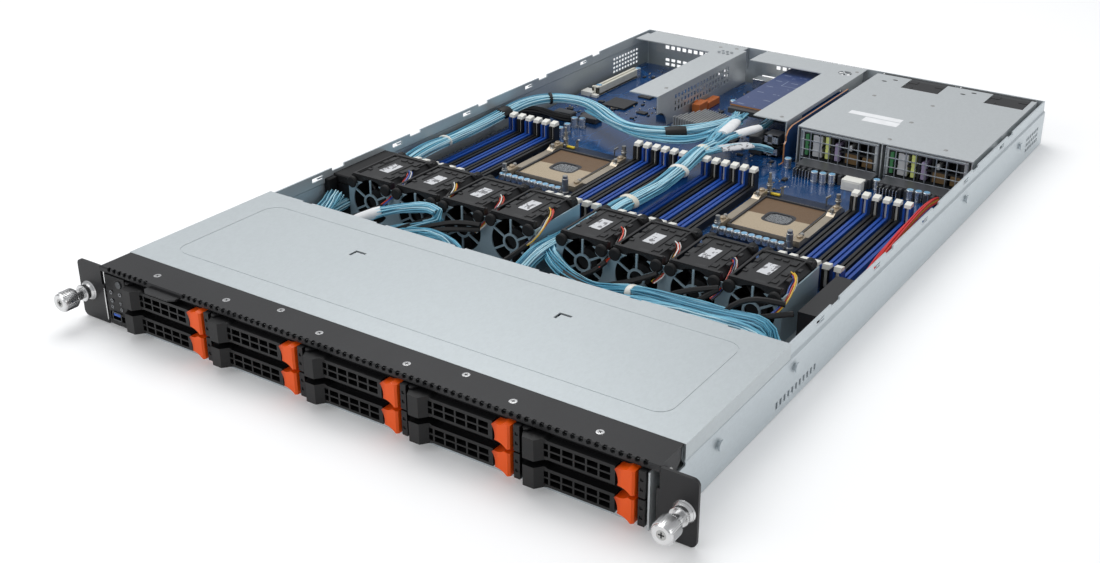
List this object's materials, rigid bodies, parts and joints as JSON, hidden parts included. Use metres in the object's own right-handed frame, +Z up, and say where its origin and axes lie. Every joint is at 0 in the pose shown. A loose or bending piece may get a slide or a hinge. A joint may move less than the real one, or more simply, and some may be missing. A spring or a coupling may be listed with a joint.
{
  "type": "rack server",
  "caption": "One-unit rack server with a row of front drive trays, a wall of fans, memory slots and processor sockets open to view, two riser cages and two slide-in power supplies.",
  "frame": {"origin": "centre of the pan's underside", "axes": "+X to the right seen from the front, +Y to the back, +Z up"},
  "size_m": [0.4826, 0.769, 0.0435],
  "materials": {
    "black_plastic": "moulded",
    "black_steel": "satin",
    "blue_board": "solder mask",
    "board_metal": "mixed",
    "button_lens": "clear moulded",
    "cable_jacket": "extruded",
    "galvanised_steel": "satin",
    "latch_plastic": "moulded",
    "machined_steel": "polished",
    "nickel_plate": "satin",
    "orange_plastic": "moulded",
    "socket_plastic": "moulded",
    "white_plastic": "moulded"
  },
  "bodies": {
    "chassis": {"chassis_base": "galvanised_steel", "front_cover": "galvanised_steel", "front_bezel": "black_steel", "drive_cage": "galvanised_steel", "control_panel": "black_plastic", "fan_housings": "black_plastic", "fan_wall": "galvanised_steel", "circuit_boards": "blue_board", "memory_sockets": "socket_plastic", "cpu_sockets": "nickel_plate", "board_parts": "board_metal", "rear_brackets": "galvanised_steel", "cable_looms": "cable_jacket"},
    "tray_c1_lower": {"drive_tray_c1_lower": "black_plastic"},
    "lever_c1_lower": {"tray_lever_c1_lower": "black_plastic"},
    "catch_c1_lower": {"tray_catch_c1_lower": "orange_plastic"},
    "tray_c1_upper": {"drive_tray_c1_upper": "black_plastic"},
    "lever_c1_upper": {"tray_lever_c1_upper": "black_plastic"},
    "catch_c1_upper": {"tray_catch_c1_upper": "orange_plastic"},
    "tray_c2_lower": {"drive_tray_c2_lower": "black_plastic"},
    "lever_c2_lower": {"tray_lever_c2_lower": "black_plastic"},
    "catch_c2_lower": {"tray_catch_c2_lower": "orange_plastic"},
    "tray_c2_upper": {"drive_tray_c2_upper": "black_plastic"},
    "lever_c2_upper": {"tray_lever_c2_upper": "black_plastic"},
    "catch_c2_upper": {"tray_catch_c2_upper": "orange_plastic"},
    "tray_c3_lower": {"drive_tray_c3_lower": "black_plastic"},
    "lever_c3_lower": {"tray_lever_c3_lower": "black_plastic"},
    "catch_c3_lower": {"tray_catch_c3_lower": "orange_plastic"},
    "tray_c3_upper": {"drive_tray_c3_upper": "black_plastic"},
    "lever_c3_upper": {"tray_lever_c3_upper": "black_plastic"},
    "catch_c3_upper": {"tray_catch_c3_upper": "orange_plastic"},
    "tray_c4_lower": {"drive_tray_c4_lower": "black_plastic"},
    "lever_c4_lower": {"tray_lever_c4_lower": "black_plastic"},
    "catch_c4_lower": {"tray_catch_c4_lower": "orange_plastic"},
    "tray_c4_upper": {"drive_tray_c4_upper": "black_plastic"},
    "lever_c4_upper": {"tray_lever_c4_upper": "black_plastic"},
    "catch_c4_upper": {"tray_catch_c4_upper": "orange_plastic"},
    "tray_c5_lower": {"drive_tray_c5_lower": "black_plastic"},
    "lever_c5_lower": {"tray_lever_c5_lower": "black_plastic"},
    "catch_c5_lower": {"tray_catch_c5_lower": "orange_plastic"},
    "tray_c5_upper": {"drive_tray_c5_upper": "black_plastic"},
    "lever_c5_upper": {"tray_lever_c5_upper": "black_plastic"},
    "catch_c5_upper": {"tray_catch_c5_upper": "orange_plastic"},
    "rotor_1": {"fan_rotor_1": "black_plastic"},
    "rotor_2": {"fan_rotor_2": "black_plastic"},
    "rotor_3": {"fan_rotor_3": "black_plastic"},
    "rotor_4": {"fan_rotor_4": "black_plastic"},
    "rotor_5": {"fan_rotor_5": "black_plastic"},
    "rotor_6": {"fan_rotor_6": "black_plastic"},
    "rotor_7": {"fan_rotor_7": "black_plastic"},
    "rotor_8": {"fan_rotor_8": "black_plastic"},
    "screw_left": {"thumbscrew_left": "machined_steel"},
    "screw_right": {"thumbscrew_right": "machined_steel"},
    "power_key": {"power_button": "button_lens"},
    "latches_front": {"memory_latches_front": "white_plastic"},
    "latches_rear": {"memory_latches_rear": "white_plastic"},
    "supply_1": {"power_supply_1": "galvanised_steel"},
    "release_1": {"supply_latch_1": "latch_plastic"},
    "supply_2": {"power_supply_2": "galvanised_steel"},
    "release_2": {"supply_latch_2": "latch_plastic"}
  },
  "joints": [
    {"name": "tray_c1_lower_slide", "type": "slide", "parent": "chassis", "child": "tray_c1_lower", "axis": [0, -1, 0], "range_m": [0, 0.12]},
    {"name": "lever_c1_lower_hinge", "type": "hinge", "parent": "tray_c1_lower", "child": "lever_c1_lower", "pos_m": [-0.1898, -0.3654, 0.01255], "axis": [0, 0, -1], "range_deg": [0, 50]},
    {"name": "catch_c1_lower_press", "type": "slide", "parent": "tray_c1_lower", "child": "catch_c1_lower", "axis": [1, 0, 0], "range_m": [0, 0.0015], "stiffness_N_per_m": 400},
    {"name": "tray_c1_upper_slide", "type": "slide", "parent": "chassis", "child": "tray_c1_upper", "axis": [0, -1, 0], "range_m": [0, 0.12]},
    {"name": "lever_c1_upper_hinge", "type": "hinge", "parent": "tray_c1_upper", "child": "lever_c1_upper", "pos_m": [-0.1898, -0.3654, 0.03045], "axis": [0, 0, -1], "range_deg": [0, 50]},
    {"name": "catch_c1_upper_press", "type": "slide", "parent": "tray_c1_upper", "child": "catch_c1_upper", "axis": [1, 0, 0], "range_m": [0, 0.0015], "stiffness_N_per_m": 400},
    {"name": "tray_c2_lower_slide", "type": "slide", "parent": "chassis", "child": "tray_c2_lower", "axis": [0, -1, 0], "range_m": [0, 0.12]},
    {"name": "lever_c2_lower_hinge", "type": "hinge", "parent": "tray_c2_lower", "child": "lever_c2_lower", "pos_m": [-0.10895, -0.3654, 0.01255], "axis": [0, 0, -1], "range_deg": [0, 50]},
    {"name": "catch_c2_lower_press", "type": "slide", "parent": "tray_c2_lower", "child": "catch_c2_lower", "axis": [1, 0, 0], "range_m": [0, 0.0015], "stiffness_N_per_m": 400},
    {"name": "tray_c2_upper_slide", "type": "slide", "parent": "chassis", "child": "tray_c2_upper", "axis": [0, -1, 0], "range_m": [0, 0.12]},
    {"name": "lever_c2_upper_hinge", "type": "hinge", "parent": "tray_c2_upper", "child": "lever_c2_upper", "pos_m": [-0.10895, -0.3654, 0.03045], "axis": [0, 0, -1], "range_deg": [0, 50]},
    {"name": "catch_c2_upper_press", "type": "slide", "parent": "tray_c2_upper", "child": "catch_c2_upper", "axis": [1, 0, 0], "range_m": [0, 0.0015], "stiffness_N_per_m": 400},
    {"name": "tray_c3_lower_slide", "type": "slide", "parent": "chassis", "child": "tray_c3_lower", "axis": [0, -1, 0], "range_m": [0, 0.12]},
    {"name": "lever_c3_lower_hinge", "type": "hinge", "parent": "tray_c3_lower", "child": "lever_c3_lower", "pos_m": [-0.0281, -0.3654, 0.01255], "axis": [0, 0, -1], "range_deg": [0, 50]},
    {"name": "catch_c3_lower_press", "type": "slide", "parent": "tray_c3_lower", "child": "catch_c3_lower", "axis": [1, 0, 0], "range_m": [0, 0.0015], "stiffness_N_per_m": 400},
    {"name": "tray_c3_upper_slide", "type": "slide", "parent": "chassis", "child": "tray_c3_upper", "axis": [0, -1, 0], "range_m": [0, 0.12]},
    {"name": "lever_c3_upper_hinge", "type": "hinge", "parent": "tray_c3_upper", "child": "lever_c3_upper", "pos_m": [-0.0281, -0.3654, 0.03045], "axis": [0, 0, -1], "range_deg": [0, 50]},
    {"name": "catch_c3_upper_press", "type": "slide", "parent": "tray_c3_upper", "child": "catch_c3_upper", "axis": [1, 0, 0], "range_m": [0, 0.0015], "stiffness_N_per_m": 400},
    {"name": "tray_c4_lower_slide", "type": "slide", "parent": "chassis", "child": "tray_c4_lower", "axis": [0, -1, 0], "range_m": [0, 0.12]},
    {"name": "lever_c4_lower_hinge", "type": "hinge", "parent": "tray_c4_lower", "child": "lever_c4_lower", "pos_m": [0.05275, -0.3654, 0.01255], "axis": [0, 0, -1], "range_deg": [0, 50]},
    {"name": "catch_c4_lower_press", "type": "slide", "parent": "tray_c4_lower", "child": "catch_c4_lower", "axis": [1, 0, 0], "range_m": [0, 0.0015], "stiffness_N_per_m": 400},
    {"name": "tray_c4_upper_slide", "type": "slide", "parent": "chassis", "child": "tray_c4_upper", "axis": [0, -1, 0], "range_m": [0, 0.12]},
    {"name": "lever_c4_upper_hinge", "type": "hinge", "parent": "tray_c4_upper", "child": "lever_c4_upper", "pos_m": [0.05275, -0.3654, 0.03045], "axis": [0, 0, -1], "range_deg": [0, 50]},
    {"name": "catch_c4_upper_press", "type": "slide", "parent": "tray_c4_upper", "child": "catch_c4_upper", "axis": [1, 0, 0], "range_m": [0, 0.0015], "stiffness_N_per_m": 400},
    {"name": "tray_c5_lower_slide", "type": "slide", "parent": "chassis", "child": "tray_c5_lower", "axis": [0, -1, 0], "range_m": [0, 0.12]},
    {"name": "lever_c5_lower_hinge", "type": "hinge", "parent": "tray_c5_lower", "child": "lever_c5_lower", "pos_m": [0.1336, -0.3654, 0.01255], "axis": [0, 0, -1], "range_deg": [0, 50]},
    {"name": "catch_c5_lower_press", "type": "slide", "parent": "tray_c5_lower", "child": "catch_c5_lower", "axis": [1, 0, 0], "range_m": [0, 0.0015], "stiffness_N_per_m": 400},
    {"name": "tray_c5_upper_slide", "type": "slide", "parent": "chassis", "child": "tray_c5_upper", "axis": [0, -1, 0], "range_m": [0, 0.12]},
    {"name": "lever_c5_upper_hinge", "type": "hinge", "parent": "tray_c5_upper", "child": "lever_c5_upper", "pos_m": [0.1336, -0.3654, 0.03045], "axis": [0, 0, -1], "range_deg": [0, 50]},
    {"name": "catch_c5_upper_press", "type": "slide", "parent": "tray_c5_upper", "child": "catch_c5_upper", "axis": [1, 0, 0], "range_m": [0, 0.0015], "stiffness_N_per_m": 400},
    {"name": "rotor_1_spin", "type": "hinge", "parent": "chassis", "child": "rotor_1", "pos_m": [-0.176, -0.1125, 0.0215], "axis": [0, 1, 0], "continuous": true},
    {"name": "rotor_2_spin", "type": "hinge", "parent": "chassis", "child": "rotor_2", "pos_m": [-0.1305, -0.1125, 0.0215], "axis": [0, 1, 0], "continuous": true},
    {"name": "rotor_3_spin", "type": "hinge", "parent": "chassis", "child": "rotor_3", "pos_m": [-0.085, -0.1125, 0.0215], "axis": [0, 1, 0], "continuous": true},
    {"name": "rotor_4_spin", "type": "hinge", "parent": "chassis", "child": "rotor_4", "pos_m": [-0.0395, -0.1125, 0.0215], "axis": [0, 1, 0], "continuous": true},
    {"name": "rotor_5_spin", "type": "hinge", "parent": "chassis", "child": "rotor_5", "pos_m": [0.02425, -0.1125, 0.0215], "axis": [0, 1, 0], "continuous": true},
    {"name": "rotor_6_spin", "type": "hinge", "parent": "chassis", "child": "rotor_6", "pos_m": [0.06975, -0.1125, 0.0215], "axis": [0, 1, 0], "continuous": true},
    {"name": "rotor_7_spin", "type": "hinge", "parent": "chassis", "child": "rotor_7", "pos_m": [0.11525, -0.1125, 0.0215], "axis": [0, 1, 0], "continuous": true},
    {"name": "rotor_8_spin", "type": "hinge", "parent": "chassis", "child": "rotor_8", "pos_m": [0.16075, -0.1125, 0.0215], "axis": [0, 1, 0], "continuous": true},
    {"name": "screw_left_turn", "type": "hinge", "parent": "chassis", "child": "screw_left", "pos_m": [-0.233, -0.365, 0.021], "axis": [0, 1, 0], "continuous": true},
    {"name": "screw_right_turn", "type": "hinge", "parent": "chassis", "child": "screw_right", "pos_m": [0.233, -0.365, 0.021], "axis": [0, 1, 0], "continuous": true},
    {"name": "power_key_press", "type": "slide", "parent": "chassis", "child": "power_key", "axis": [0, 1, 0], "range_m": [0, 0.0008], "stiffness_N_per_m": 500},
    {"name": "latches_front_tip", "type": "hinge", "parent": "chassis", "child": "latches_front", "pos_m": [0, -0.0613, 0.0135], "axis": [1, 0, 0], "range_deg": [0, 25]},
    {"name": "latches_rear_tip", "type": "hinge", "parent": "chassis", "child": "latches_rear", "pos_m": [0, 0.0793, 0.0135], "axis": [-1, 0, 0], "range_deg": [0, 25]},
    {"name": "supply_1_slide", "type": "slide", "parent": "chassis", "child": "supply_1", "axis": [0, 1, 0], "range_m": [0, 0.2]},
    {"name": "release_1_press", "type": "slide", "parent": "supply_1", "child": "release_1", "axis": [-1, 0, 0], "range_m": [0, 0.003], "stiffness_N_per_m": 500},
    {"name": "supply_2_slide", "type": "slide", "parent": "chassis", "child": "supply_2", "axis": [0, 1, 0], "range_m": [0, 0.2]},
    {"name": "release_2_press", "type": "slide", "parent": "supply_2", "child": "release_2", "axis": [-1, 0, 0], "range_m": [0, 0.003], "stiffness_N_per_m": 500}
  ]
}
